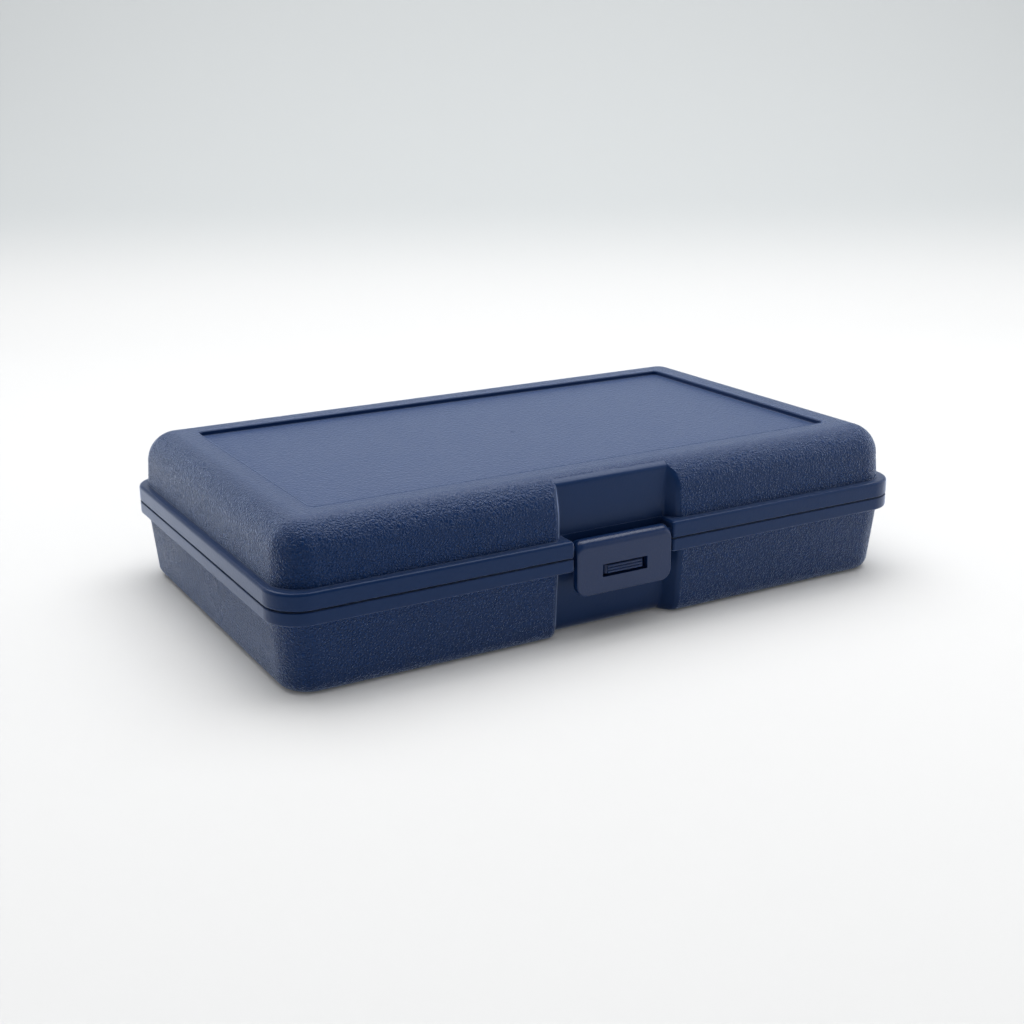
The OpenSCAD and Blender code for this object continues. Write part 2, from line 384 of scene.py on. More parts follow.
def prism_along_x(points, x0, x1, bevel, centre):
    """Solid between x0 and x1 whose (y, z) outline is points, drawn in by bevel at both ends."""
    pts = np.array(points, float)
    mid = np.array(centre, float)
    reach = np.abs(pts - mid).max()
    small = mid + (pts - mid) * (1 - bevel / reach)
    rings = [(x0, small), (x0 + bevel, pts), (x1 - bevel, pts), (x1, small)]
    verts = [(x, y, z) for x, ring in rings for y, z in ring]
    n = len(pts)
    faces = [list(range(n))[::-1], [3 * n + i for i in range(n)]]
    for k in range(3):
        faces += [[k * n + i, k * n + (i + 1) % n, (k + 1) * n + (i + 1) % n, (k + 1) * n + i]
                  for i in range(n)]
    me = bpy.data.meshes.new("prism")
    me.from_pydata(verts, [], faces)
    outward(me)
    return me


def outward(me):
    """Turns every face of a closed mesh to point out of it."""
    bm = bmesh.new()
    bm.from_mesh(me)
    bmesh.ops.recalc_face_normals(bm, faces=bm.faces)
    bm.to_mesh(me)
    bm.free()


def arc(centre, radius, start, end, steps):
    """(y, z) points of an arc, angles in degrees from +Y towards +Z."""
    turn = np.radians(np.linspace(start, end, steps + 1))
    return np.column_stack([centre[0] + radius * np.cos(turn), centre[1] + radius * np.sin(turn)])


def rod_along_x(x0, x1, centre, radius, steps=32):
    """Plain round rod along X."""
    ring = arc(centre, radius, 0, 360, steps)[:-1]
    return prism_along_x(ring, x0, x1, min(radius, x1 - x0) * 0.001, centre)


def block(low, high, bevel=0.0, segments=2):
    """Box between two corners with rounded edges."""
    bm = bmesh.new()
    bmesh.ops.create_cube(bm, size=1)
    low, high = Vector(low), Vector(high)
    bmesh.ops.scale(bm, vec=high - low, verts=bm.verts)
    bmesh.ops.translate(bm, vec=(low + high) / 2, verts=bm.verts)
    if bevel:
        bmesh.ops.bevel(bm, geom=bm.edges[:], offset=bevel, segments=segments, profile=0.5,
                        affect="EDGES")
    me = bpy.data.meshes.new("block")
    bm.to_mesh(me)
    bm.free()
    return me


def carry_masks(me, skin):
    """Gives each point of a finished mesh the masks of the nearest point of its first skin."""
    points = np.concatenate(skin.rings)
    tree = KDTree(len(points))
    for i, co in enumerate(points):
        tree.insert(co, i)
    tree.balance()
    nearest = np.array([tree.find(v.co)[1] for v in me.vertices])
    write_masks(me, {label: values[nearest] for label, values in skin.masks().items()})


def place_piece(name, me, material, body, replaces=(), sharp=32):
    """Names, shades and hangs one finished piece on its body."""
    obj = new_object(name, me)
    me.materials.clear()
    me.materials.append(material)
    me.polygons.foreach_set("material_index", [0] * len(me.polygons))
    me.shade_smooth()
    me.set_sharp_from_angle(angle=math.radians(sharp))
    even = obj.modifiers.new("Even shading", "WEIGHTED_NORMAL")
    even.keep_sharp = True
    even.weight = 60
    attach(obj, body)
    if replaces:
        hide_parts(*replaces)
    return obj


# ---------------------------------------------------------------- geometry nodes

def new_tree(name, inputs, outputs=("Geometry",), kind="GeometryNodeTree", gives="NodeSocketGeometry"):
    """A node tree with (label, socket type, default) inputs, its input node and its output node."""
    tree = bpy.data.node_groups.new(name, kind)
    for label in outputs:
        tree.interface.new_socket(label, in_out="OUTPUT", socket_type=gives)
    for label, takes, default in inputs:
        socket = tree.interface.new_socket(label, in_out="INPUT", socket_type=takes)
        if default is not None:
            socket.default_value = default
    return tree, tree.nodes.new("NodeGroupInput"), tree.nodes.new("NodeGroupOutput")


def node(tree, kind, links=None, **settings):
    """A node with its settings, its sockets linked or given values by index or name."""
    made = tree.nodes.new(kind)
    for key, value in settings.items():
        setattr(made, key, value)
    for key, value in (links or {}).items():
        if isinstance(value, bpy.types.NodeSocket):
            tree.links.new(value, made.inputs[key])
        else:
            made.inputs[key].default_value = value
    return made


def run_tree(tree, values, name):
    """The mesh that a Geometry Nodes tree makes with those input values."""
    holder = new_object(name, bpy.data.meshes.new(name))
    modifier = holder.modifiers.new("Build", "NODES")
    modifier.node_group = tree
    for item in tree.interface.items_tree:
        if item.item_type == "SOCKET" and item.in_out == "INPUT" and item.name in values:
            modifier[item.identifier] = values[item.name]
    bpy.context.view_layer.update()
    evaluated = holder.evaluated_get(bpy.context.evaluated_depsgraph_get())
    me = bpy.data.meshes.new_from_object(evaluated)
    bpy.data.objects.remove(holder)
    return me


def repeated(tree, points, piece, given, out):
    """Ends a tree: one real piece on each point, all of the given material."""
    pieces = node(tree, "GeometryNodeInstanceOnPoints", {"Points": points, "Instance": piece})
    real = node(tree, "GeometryNodeRealizeInstances", {"Geometry": pieces.outputs["Instances"]})
    done = node(tree, "GeometryNodeSetMaterial", {"Geometry": real.outputs["Geometry"],
                                                  "Material": given.outputs["Material"]})
    tree.links.new(done.outputs["Geometry"], out.inputs["Geometry"])
    return tree


def rib_tree():
    """Half-sunk round ribs, one above another, along X."""
    tree, given, out = new_tree("Rib row", [
        ("Count", "NodeSocketInt", 3), ("Pitch", "NodeSocketFloat", 0.0008),
        ("Length", "NodeSocketFloat", 0.013), ("Radius", "NodeSocketFloat", 0.0004),
        ("First", "NodeSocketVector", (0.0, 0.0, 0.0)), ("Material", "NodeSocketMaterial", None)])
    rib = node(tree, "GeometryNodeMeshCylinder", {"Vertices": 20, "Radius": given.outputs["Radius"],
                                                  "Depth": given.outputs["Length"]})
    laid = node(tree, "GeometryNodeTransform", {"Geometry": rib.outputs["Mesh"],
                                                "Rotation": (0.0, math.pi / 2, 0.0)})
    step = node(tree, "ShaderNodeCombineXYZ", {"Z": given.outputs["Pitch"]})
    row = node(tree, "GeometryNodeMeshLine", {"Count": given.outputs["Count"],
                                              "Start Location": given.outputs["First"],
                                              "Offset": step.outputs["Vector"]})
    return repeated(tree, row.outputs["Mesh"], laid.outputs["Geometry"], given, out)


def mark_tree():
    """Flat round marks on a regular grid."""
    if "Mould marks" in bpy.data.node_groups:
        return bpy.data.node_groups["Mould marks"]
    tree, given, out = new_tree("Mould marks", [
        ("Columns", "NodeSocketInt", 4), ("Rows", "NodeSocketInt", 2),
        ("Length", "NodeSocketFloat", 0.15), ("Depth", "NodeSocketFloat", 0.07),
        ("Radius", "NodeSocketFloat", 0.003), ("Thickness", "NodeSocketFloat", 0.0006),
        ("Place", "NodeSocketVector", (0.0, 0.0, 0.0)), ("Material", "NodeSocketMaterial", None)])
    grid = node(tree, "GeometryNodeMeshGrid", {"Size X": given.outputs["Length"],
                                               "Size Y": given.outputs["Depth"],
                                               "Vertices X": given.outputs["Columns"],
                                               "Vertices Y": given.outputs["Rows"]})
    moved = node(tree, "GeometryNodeTransform", {"Geometry": grid.outputs["Mesh"],
                                                 "Translation": given.outputs["Place"]})
    disc = node(tree, "GeometryNodeMeshCylinder", {"Vertices": 40, "Radius": given.outputs["Radius"],
                                                   "Depth": given.outputs["Thickness"]})
    return repeated(tree, moved.outputs["Geometry"], disc.outputs["Mesh"], given, out)


# ---------------------------------------------------------------- materials

def new_group(name, inputs, outputs):
    """A shader node group with the given inputs and float outputs."""
    return new_tree(name, inputs, outputs, "ShaderNodeTree", "NodeSocketFloat")


def math_node(tree, operation, a, b):
    """The result of arithmetic on two values or sockets."""
    return node(tree, "ShaderNodeMath", {0: a, 1: b}, operation=operation).outputs[0]


def leather_group():
    """Pebbled, leather-like moulding grain: rounded cells parted by irregular creases."""
    if "Leather grain" in bpy.data.node_groups:
        return bpy.data.node_groups["Leather grain"]
    tree, given, out = new_group("Leather grain", [
        ("Vector", "NodeSocketVector", None), ("Cell", "NodeSocketFloat", 0.0012)],
        ["Height", "Crease"])
    scale = math_node(tree, "DIVIDE", 1.0, given.outputs["Cell"])
    warp = node(tree, "ShaderNodeTexNoise", {"Vector": given.outputs["Vector"], "Detail": 2.0,
                                             "Scale": times(tree, scale, 0.55)})
    centred = node(tree, "ShaderNodeVectorMath", {0: warp.outputs["Color"], 1: (0.5, 0.5, 0.5)},
                   operation="SUBTRACT")
    push = node(tree, "ShaderNodeVectorMath", {0: centred.outputs[0],
                                               "Scale": times(tree, given.outputs["Cell"], 1.5)},
                operation="SCALE")
    bent = node(tree, "ShaderNodeVectorMath", {0: given.outputs["Vector"], 1: push.outputs[0]},
                operation="ADD")
    cells = node(tree, "ShaderNodeTexVoronoi", {"Vector": bent.outputs[0], "Scale": scale,
                                                "Randomness": 0.95},
                 feature="DISTANCE_TO_EDGE")
    fine = node(tree, "ShaderNodeTexVoronoi", {"Vector": bent.outputs[0], "Randomness": 1.0,
                                               "Scale": times(tree, scale, 2.1)},
                feature="DISTANCE_TO_EDGE")
    big = scaled(tree, cells.outputs["Distance"], 0.0, 0.34, smooth=True)
    small = scaled(tree, fine.outputs["Distance"], 0.0, 0.3, smooth=True)
    ripple = noise(tree, given.outputs["Vector"], times(tree, scale, 1.6), 3.0)
    height = math_node(tree, "ADD", times(tree, big, 0.62),
                       math_node(tree, "ADD", times(tree, small, 0.22), times(tree, ripple, 0.3)))
    tree.links.new(height, out.inputs["Height"])
    # Crease marks where the cells part; the shell paints shade into these creases
    tree.links.new(math_node(tree, "SUBTRACT", 1.0, big), out.inputs["Crease"])
    return tree


def matte_group():
    """Fine, even spark-eroded grain, as on a flat moulded panel."""
    if "Fine matte grain" in bpy.data.node_groups:
        return bpy.data.node_groups["Fine matte grain"]
    tree, given, out = new_group("Fine matte grain", [
        ("Vector", "NodeSocketVector", None), ("Size", "NodeSocketFloat", 0.0004)],
        ["Height", "Speck"])
    scale = math_node(tree, "DIVIDE", 1.0, given.outputs["Size"])
    fine = noise(tree, given.outputs["Vector"], scale, 2.0, 0.6)
    pits = node(tree, "ShaderNodeTexVoronoi", {"Vector": given.outputs["Vector"],
                                               "Scale": times(tree, scale, 0.7)},
                feature="SMOOTH_F1")
    height = math_node(tree, "ADD", times(tree, fine, 0.6),
                       times(tree, pits.outputs["Distance"], 0.5))
    tree.links.new(height, out.inputs["Height"])
    tree.links.new(scaled(tree, fine, 0.55, 0.75), out.inputs["Speck"])
    return tree


def handling_group():
    """Sparse dust specks and faint rubbed patches from handling."""
    if "Handling" in bpy.data.node_groups:
        return bpy.data.node_groups["Handling"]
    tree, given, out = new_group("Handling", [("Vector", "NodeSocketVector", None)],
                                 ["Dust", "Rub"])
    dots = node(tree, "ShaderNodeTexVoronoi", {"Vector": given.outputs["Vector"], "Scale": 90.0},
                feature="F1")
    dot = scaled(tree, dots.outputs["Distance"], 0.012, 0.028, 1.0, 0.0)
    draw = node(tree, "ShaderNodeSeparateColor", {"Color": dots.outputs["Color"]}).outputs[0]
    tree.links.new(times(tree, dot, scaled(tree, draw, 0.72, 0.8)), out.inputs["Dust"])
    haze = noise(tree, given.outputs["Vector"], 22.0, 5.0, 0.65)
    tree.links.new(scaled(tree, haze, 0.5, 0.72), out.inputs["Rub"])
    return tree


def group_node(tree, group, links):
    """A shader node group placed in a material."""
    return node(tree, "ShaderNodeGroup", links, node_tree=group)


def blank_material(name):
    """A material with one Principled shader, and its object coordinates."""
    mat = bpy.data.materials.new(name)
    mat.use_nodes = True
    tree = mat.node_tree
    tree.nodes.clear()
    out = tree.nodes.new("ShaderNodeOutputMaterial")
    surface = tree.nodes.new("ShaderNodeBsdfPrincipled")
    tree.links.new(surface.outputs["BSDF"], out.inputs["Surface"])
    coords = tree.nodes.new("ShaderNodeTexCoord")
    return mat, tree, surface, coords.outputs["Object"]


def mix_colour(tree, factor, a, b):
    """A colour between a and b."""
    return node(tree, "ShaderNodeMix", {0: factor, 6: a, 7: b}, data_type="RGBA").outputs[2]


def mix_value(tree, factor, a, b):
    """A value between a and b."""
    return node(tree, "ShaderNodeMix", {0: factor, 2: a, 3: b}, data_type="FLOAT").outputs[0]


def scaled(tree, value, from_low, from_high, to_low=0.0, to_high=1.0, smooth=False):
    """A value carried from one range to another, held at its ends."""
    made = node(tree, "ShaderNodeMapRange", {
        "Value": value, "From Min": from_low, "From Max": from_high, "To Min": to_low,
        "To Max": to_high}, interpolation_type="SMOOTHSTEP" if smooth else "LINEAR")
    return made.outputs[0]


def noise(tree, vector, scale, detail, roughness=0.5):
    """The value of a noise texture."""
    return node(tree, "ShaderNodeTexNoise", {"Vector": vector, "Scale": scale, "Detail": detail,
                                             "Roughness": roughness}).outputs["Fac"]


def times(tree, a, b):
    """The product of two values or sockets."""
    return math_node(tree, "MULTIPLY", a, b)


def raise_surface(tree, surface, height):
    """Lets a height in metres tilt the surface's normal."""
    bump = node(tree, "ShaderNodeBump", {"Height": height, "Distance": 1.0, "Strength": 1.0})
    tree.links.new(bump.outputs["Normal"], surface.inputs["Normal"])


def handled(tree, handling, ground, rub, pale):
    """A ground colour with rubbed patches and specks of dust."""
    rubbed = mix_colour(tree, times(tree, handling.outputs["Rub"], rub), ground, pale)
    return mix_colour(tree, times(tree, handling.outputs["Dust"], 0.5), rubbed, DUST)


def opaque(rgb, factor=1.0, lift=0.0):
    """A colour made darker or paler, with full alpha."""
    return tuple(lift + factor * c for c in rgb) + (1.0,)


def shell_material():
    """Navy moulded plastic: leather-like walls, fine matte panel, smooth rims and notch."""
    if "Navy shell plastic" in bpy.data.materials:
        return bpy.data.materials["Navy shell plastic"]
    f = bpy.context.scene.case_finish
    mat, tree, surface, vector = blank_material("Navy shell plastic")
    grain = node(tree, "ShaderNodeAttribute", attribute_name="grain").outputs["Fac"]
    panel = node(tree, "ShaderNodeAttribute", attribute_name="panel").outputs["Fac"]
    leather = group_node(tree, leather_group(), {"Vector": vector, "Cell": f.cell})
    matte = group_node(tree, matte_group(), {"Vector": vector, "Size": f.matte_size})
    handling = group_node(tree, handling_group(), {"Vector": vector})
    textured = math_node(tree, "MAXIMUM", grain, panel)
    ground = mix_colour(tree, textured, opaque(f.plastic, POLISHED), opaque(f.plastic))
    # painted shade: the creases of the walls' grain are darkened towards a deeper navy
    crease_shaded = mix_colour(tree, times(tree, leather.outputs["Crease"], times(tree, grain, 0.5)), ground,
                         opaque(f.plastic, 0.62))
    tree.links.new(handled(tree, handling, crease_shaded, 0.045, opaque(f.plastic, 1.2, 0.04)),
                   surface.inputs["Base Color"])
    rough = mix_value(tree, grain, f.smooth_rough, f.grain_rough)
    rough = mix_value(tree, panel, rough, f.panel_rough)
    rough = math_node(tree, "ADD", rough, times(tree, handling.outputs["Rub"], 0.05))
    tree.links.new(rough, surface.inputs["Roughness"])
    leather_height = times(tree, times(tree, leather.outputs["Height"], grain), f.depth)
    matte_height = times(tree, times(tree, matte.outputs["Height"], mix_value(tree, panel, 0.18, 1.0)),
                         f.matte_depth)
    raise_surface(tree, surface, math_node(tree, "ADD", leather_height, matte_height))
    surface.inputs["Sheen Weight"].default_value = f.haze
    surface.inputs["Sheen Roughness"].default_value = 0.3
    surface.inputs["Sheen Tint"].default_value = (0.57, 0.7, 1.0, 1.0)
    surface.inputs["IOR"].default_value = f.index
    surface.inputs["Specular Tint"].default_value = opaque(f.glint)
    return mat


def smooth_material(name="Navy latch plastic"):
    """The same plastic where the mould is polished: satin, with a trace of grain."""
    if name in bpy.data.materials:
        return bpy.data.materials[name]
    f = bpy.context.scene.case_finish
    mat, tree, surface, vector = blank_material(name)
    matte = group_node(tree, matte_group(), {"Vector": vector, "Size": f.matte_size * 0.8})
    handling = group_node(tree, handling_group(), {"Vector": vector})
    tree.links.new(handled(tree, handling, opaque(f.plastic, POLISHED), 0.12,
                           opaque(f.plastic, 0.9, 0.03)), surface.inputs["Base Color"])
    rough = math_node(tree, "ADD", f.smooth_rough - 0.02, times(tree, matte.outputs["Speck"], 0.08))
    tree.links.new(rough, surface.inputs["Roughness"])
    raise_surface(tree, surface, times(tree, matte.outputs["Height"], f.matte_depth * 0.2))
    surface.inputs["IOR"].default_value = f.index
    surface.inputs["Specular Tint"].default_value = opaque(f.latch_glint)
    return mat


def steel_material():
    """Bright drawn wire with fine lines round it and a little tarnish."""
    if "Drawn steel" in bpy.data.materials:
        return bpy.data.materials["Drawn steel"]
    f = bpy.context.scene.case_finish
    mat, tree, surface, vector = blank_material("Drawn steel")
    stretched = node(tree, "ShaderNodeMapping", {"Vector": vector, "Scale": (400.0, 9000.0, 9000.0)})
    lines = noise(tree, stretched.outputs["Vector"], 1.0, 3.0)
    spots = scaled(tree, noise(tree, vector, 300.0, 4.0), 0.5, 0.75, 0.0, 0.5)
    tone = mix_colour(tree, spots, opaque(f.steel), (0.33, 0.32, 0.31, 1.0))
    tree.links.new(tone, surface.inputs["Base Color"])
    tree.links.new(scaled(tree, lines, 0.3, 0.7, 0.22, 0.38), surface.inputs["Roughness"])
    surface.inputs["Metallic"].default_value = 1.0
    raise_surface(tree, surface, times(tree, lines, 0.004 * MM))
    return mat


def floor_material():
    """Pale matte sweep."""
    mat, tree, surface, vector = blank_material("Pale sweep")
    pale = bpy.context.scene.case_stage.floor_tone
    tone = mix_colour(tree, noise(tree, vector, 3.0, 2.0), opaque((0.985, 0.99, 0.99), pale),
                      opaque((1.015, 1.015, 1.015), pale))
    # painted shade: the upright part is coloured a little greyer than the floor, standing in for the dimmer
    # light that falls on it
    height = node(tree, "ShaderNodeSeparateXYZ", {"Vector": vector}).outputs["Z"]
    upright = scaled(tree, height, 0.0, 0.06, smooth=True)
    tone = mix_colour(tree, upright, tone, opaque((0.77, 0.8, 0.81), pale))
    tree.links.new(tone, surface.inputs["Base Color"])
    surface.inputs["Roughness"].default_value = 0.8
    return mat


# ---------------------------------------------------------------- shells

class ShellForm:
    """Shared levels and rings of the two shells, worked out from the settings."""

    def __init__(self, s):
        self.s = s
        self.base_top = PARTING - s.gap / 2
        self.lid_low = PARTING + s.gap / 2
        self.notch_y = -HALF_D + s.notch_back
        self.bulge = s.notch_half + 2.6 * MM     # half width of the bulge inside

    def rim(self, inset, back, end=None):
        """Ring of a rim, whose ends stop square beside the latch."""
        s = self.s
        end = s.rim_end + inset if end is None else end
        return outline(inset, s.rim_corner - inset, end, 0.0, back, 0.5 * MM, 0.7 * MM, s.steps)

    def wall(self, inset, corner, back, soft=0.25 * MM, widen=0.0, sunk=0.0):
        """Ring of an outer wall with the splayed notch in it."""
        s = self.s
        front = -(HALF_D - inset)
        return outline(inset, corner, s.notch_half + widen, s.notch_splay,
                       soft_back(front, back, soft) + sunk, 1.2 * MM, 2.3 * MM, s.steps)

    def plain(self, inset, corner, widen=0.0):
        """Ring of the lid that counts as plain wall all round, even where it passes the notch."""
        ring = self.wall(inset, corner, self.notch_y, widen=widen)[0]
        return ring, np.ones(len(ring))

    def room(self, inset, corner, back, narrow=0.0, soft=0.6 * MM):
        """Ring of an inner wall that passes behind the notch."""
        front = -(HALF_D - inset)
        return outline(inset, corner, self.bulge - narrow, 0.3, soft_back(front, back, soft),
                       1.4 * MM, 1.4 * MM, self.s.steps)


def between(a, b, t):
    """Ring part of the way from one ring to another."""
    return (1 - t) * a[0] + t * b[0], (1 - t) * a[1] + t * b[1]


def lid_skin(s):
    """The lid from the middle of its panel, over the dome and round the rim, to its ceiling."""
    form, skin = ShellForm(s), Skin()
    slope = math.tan(s.lid_draft)
    top, panel_z = CASE_H, CASE_H - s.panel_step
    edge_z = top - s.lid_edge
    edge_in = s.lid_over + (edge_z - form.lid_low) * slope
    rim_top = form.lid_low + s.lid_rim
    small, round_in = 0.35 * MM, 0.4 * MM

    def corner(inset):
        return max(s.wall_corner - max(inset - edge_in, 0), 0.3 * MM)

    # sunk panel and its step
    m = s.panel_margin
    floor = profile(bend((m + small, panel_z), (m, panel_z), (m, panel_z + small), 4),
                    line((m, panel_z + small), (m, top - round_in), 2)[1:])
    for i, (inset, z) in enumerate(floor):
        skin.add(form.wall(inset, s.panel_corner - (inset - m), form.notch_y), z,
                 panel=1.0 if i < 1 else 0.0)
    lip = profile(bend((m, top - round_in), (m, top), (m - round_in, top), 4))
    for i, (inset, z) in enumerate(lip):
        last = i == len(lip) - 1
        skin.add(form.plain(inset, s.panel_corner + (m - inset)), z,
                 grain=GRAIN_TOP if last else 0.0, panel=1 - GRAIN_TOP if last else 0.0)
    # fine bead that the mould's insert leaves round the panel
    bead, rise = m - round_in, 0.07 * MM
    for inset, z in ((bead - 0.08 * MM, top + rise), (bead - 0.24 * MM, top + rise), (bead - 0.32 * MM, top)):
        skin.add(form.plain(inset, s.panel_corner + (m - inset)), z, panel=1.0)
    for inset in np.linspace(bead, edge_in + s.lid_edge, 5)[1:-1]:
        skin.add(form.plain(inset, s.panel_corner * 0.7), top, grain=GRAIN_TOP, panel=1 - GRAIN_TOP)
    # dome, wall and the soft foot where the wall meets the rim
    foot = 0.35 * MM
    foot_in = s.lid_over + (rim_top + foot - form.lid_low) * slope
    dome = profile(bend((edge_in + s.lid_edge, top), (edge_in, top), (edge_in, edge_z), 22),
                   line((edge_in, edge_z), (foot_in, rim_top + foot), 6),
                   (foot_in, rim_top + foot))
    for inset, z in dome:
        rise = max(z - edge_z + 2 * MM, 0) / s.lid_edge
        widen = s.notch_widen * rise ** 1.5
        deep = min((top - z) / (1.3 * MM), 1)     # the grain deepens as the dome falls away
        if inset > s.strip:
            ring = form.plain(inset, corner(inset), widen)
        else:
            ring = form.wall(inset, corner(inset), form.notch_y, widen=widen, sunk=s.strip_step)
        skin.add(ring, z, grain=GRAIN_TOP + (1 - GRAIN_TOP) * deep, panel=(1 - GRAIN_TOP) * (1 - deep))
    last_wall = form.wall(foot_in, corner(foot_in), form.notch_y, sunk=s.strip_step)
    rolled = 1.0 * MM
    rim_flat = form.rim(rolled, form.notch_y, s.rim_end + 0.75 * rolled)
    for turn in np.radians((22.5, 45, 67.5, 90)):
        t = foot / (foot_in - rolled) * (1 - math.cos(turn))
        skin.add(between(last_wall, rim_flat, t), rim_top + foot * (1 - math.sin(turn)))
    skin.add(rim_flat, rim_top)
    # rim: rolled upper edge, face, crisp lower edge
    for turn in np.radians((18, 36, 54, 72, 90)):
        inset = rolled * (1 - math.sin(turn))
        skin.add(form.rim(inset, form.notch_y, s.rim_end + 0.75 * inset),
                 rim_top - rolled * (1 - math.cos(turn)))
    crisp = 0.4 * MM
    skin.add(form.rim(0, form.notch_y), rim_top - 2.2 * MM)
    for turn in np.radians((0, 30, 60, 90)):
        inset = crisp * (1 - math.cos(turn))
        skin.add(form.rim(inset, form.notch_y + inset), form.lid_low + crisp * (1 - math.sin(turn)))
    # rebate, inner wall, ceiling and the underside of the panel
    back = form.notch_y + s.wall + 0.2 * MM
    rebate_in, rebate_z = 2.6 * MM, PARTING + 2.0 * MM
    room_in = s.lid_over + s.wall
    inner_edge = s.lid_edge - s.wall
    ceiling = CASE_H - s.wall
    inner_z = ceiling - inner_edge
    inner_in = room_in + (inner_z - form.lid_low) * slope
    skin.add(form.room(rebate_in, s.rim_corner - rebate_in, back, 0.3 * MM), form.lid_low)
    skin.add(form.room(rebate_in, s.rim_corner - rebate_in, back, 0.3 * MM), rebate_z)
    inside = profile((room_in, rebate_z), line((room_in, rebate_z + 0.3 * MM), (inner_in, inner_z), 4),
                     bend((inner_in, inner_z), (inner_in, ceiling), (inner_in + inner_edge, ceiling), 12))
    for inset, z in inside:
        r = s.wall_corner - s.wall - max(inset - inner_in, 0)
        skin.add(form.room(inset, r, back), z)
    under = m - 1.0 * MM
    drop = CASE_H - s.panel_step - s.wall + 0.2 * MM
    low, high = 0.3 * MM, 0.5 * MM
    for inset, z in profile(bend((under - high, ceiling), (under, ceiling), (under, ceiling - high), 3),
                            bend((under, drop + low), (under, drop), (under + low, drop), 3)):
        skin.add(form.room(inset, 1.5 * MM, back), z)
    return skin


def base_skin(s):
    """The base from the middle of its floor, up over the ridge and rim, and down to its underside."""
    form, skin = ShellForm(s), Skin()
    slope = math.tan(s.base_draft)
    top = form.base_top

    def wall_inset(z):
        return s.base_over + (PARTING - z) * slope

    def corner(inset, limit):
        return s.wall_corner - max(inset - limit, 0)

    # floor and inner wall, with the bulge behind the notch
    inner_edge = s.base_edge - s.wall / 2
    low_z = s.wall + inner_edge
    low_in = wall_inset(low_z) + s.wall
    depth = s.notch_set + 0.7 * MM
    inside = profile(bend((low_in + inner_edge, s.wall), (low_in, s.wall), (low_in, low_z), 8),
                     line((low_in, low_z), (wall_inset(top) + s.wall, top), 5)[1:])
    for inset, z in inside:
        skin.add(form.room(inset, corner(inset, low_in) - s.wall, -HALF_D + inset + depth), z)
    # locating ridge, which stops short of the notch and of the hinges
    ridge_in, ridge_out, ridge_h, soft = wall_inset(top) + s.wall, 3.0 * MM, 1.8 * MM, 0.25 * MM
    back = -HALF_D + ridge_in + depth
    inner = form.room(ridge_in, s.wall_corner - s.wall, back)
    outer = form.room(ridge_out, s.rim_corner - ridge_out, back - 0.4 * MM, 0.4 * MM)

    def ridge_height(ring, height):
        x, y = np.abs(ring[0][:, 0]), ring[0][:, 1]
        clear = np.clip((x - form.bulge - 2.0 * MM) / (0.5 * MM), 0, 1)
        front = np.where(y > 0, 1.0, clear)
        rear = np.clip((HALF_D - 16 * MM - y) / (0.5 * MM), 0, 1)
        return top + height * np.minimum(front, rear)

    skin.add(inner, top)
    for t, height in ((0.0, ridge_h - soft), (0.08, ridge_h - 0.07 * MM), (0.25, ridge_h),
                      (0.75, ridge_h), (0.92, ridge_h - 0.07 * MM), (1.0, ridge_h - soft)):
        ring = between(inner, outer, t)
        skin.add(ring, ridge_height(ring, height))
    skin.add(outer, top)
    # rim
    crisp, under = 0.3 * MM, 0.6 * MM
    rim_low = top - s.base_rim

    def notch_back(z):
        return -HALF_D + wall_inset(z) + s.notch_set

    for turn in np.radians((0, 30, 60, 90)):
        inset, z = crisp * (1 - math.sin(turn)), top - crisp * (1 - math.cos(turn))
        skin.add(form.rim(inset, notch_back(z) + inset), z)
    skin.add(form.rim(0, notch_back(top - 2 * MM)), top - 2 * MM)
    for turn in np.radians((0, 30, 60, 90)):
        inset, z = under * (1 - math.cos(turn)), rim_low + under * (1 - math.sin(turn))
        skin.add(form.rim(inset, notch_back(z)), z)
    # soft inner corner under the rim, wall, bottom edge
    foot = 0.6 * MM
    wall_z = rim_low - foot
    last_rim = form.rim(under, notch_back(rim_low))
    first_wall = form.wall(wall_inset(wall_z), s.wall_corner, notch_back(wall_z), 0.3 * MM, s.base_widen)
    reach = wall_inset(wall_z) - under
    for turn in np.radians((0, 30, 60)):
        t = 1 - foot / reach * (1 - math.sin(turn))
        skin.add(between(last_rim, first_wall, t), rim_low - foot * (1 - math.cos(turn)))
    edge_in = wall_inset(s.base_edge)
    walls = profile(line((wall_inset(wall_z), wall_z), (edge_in, s.base_edge), 7),
                    bend((edge_in, s.base_edge), (edge_in, 0), (edge_in + s.base_edge, 0), 12))
    for inset, z in walls:
        skin.add(form.wall(inset, corner(inset, edge_in), -HALF_D + inset + s.notch_set, 0.3 * MM,
                           s.base_widen), z, grain=1.0 if z > 0.25 * MM else 0.0)
    return skin


def knuckle_mesh(x, long, low, high):
    """One hinge knuckle with the web that ties it to its rim."""
    radius = BASE_HIGH.y - HINGE.y
    centre = (HINGE.y, HINGE.z)
    root = HALF_D - 1.0 * MM
    if high > HINGE.z + radius * 0.9:      # web above the axis: the lid's
        reach = math.degrees(math.asin((low - HINGE.z) / radius))
        points = np.concatenate([[(root, low)], arc(centre, radius, 180 - reach, 450, 26), [(root, high)]])
    else:                                   # web below the axis: the base's
        reach = math.degrees(math.asin((HINGE.z - high) / radius))
        points = np.concatenate([[(root, low)], arc(centre, radius, -90, 180 + reach, 26), [(root, high)]])
    return prism_along_x(points, x - long / 2, x + long / 2, 0.25 * MM, centre)


def hinge_layout():
    """Middle of the right hinge, length of the lid's knuckle and of each base knuckle."""
    middle = (PIN_LOW.x + PIN_HIGH.x) / 2
    whole = PIN_HIGH.x - PIN_LOW.x
    lid = whole * LID_KNUCKLE / HINGE_LONG
    return middle, lid, (whole - lid - KNUCKLE_GAPS) / 2


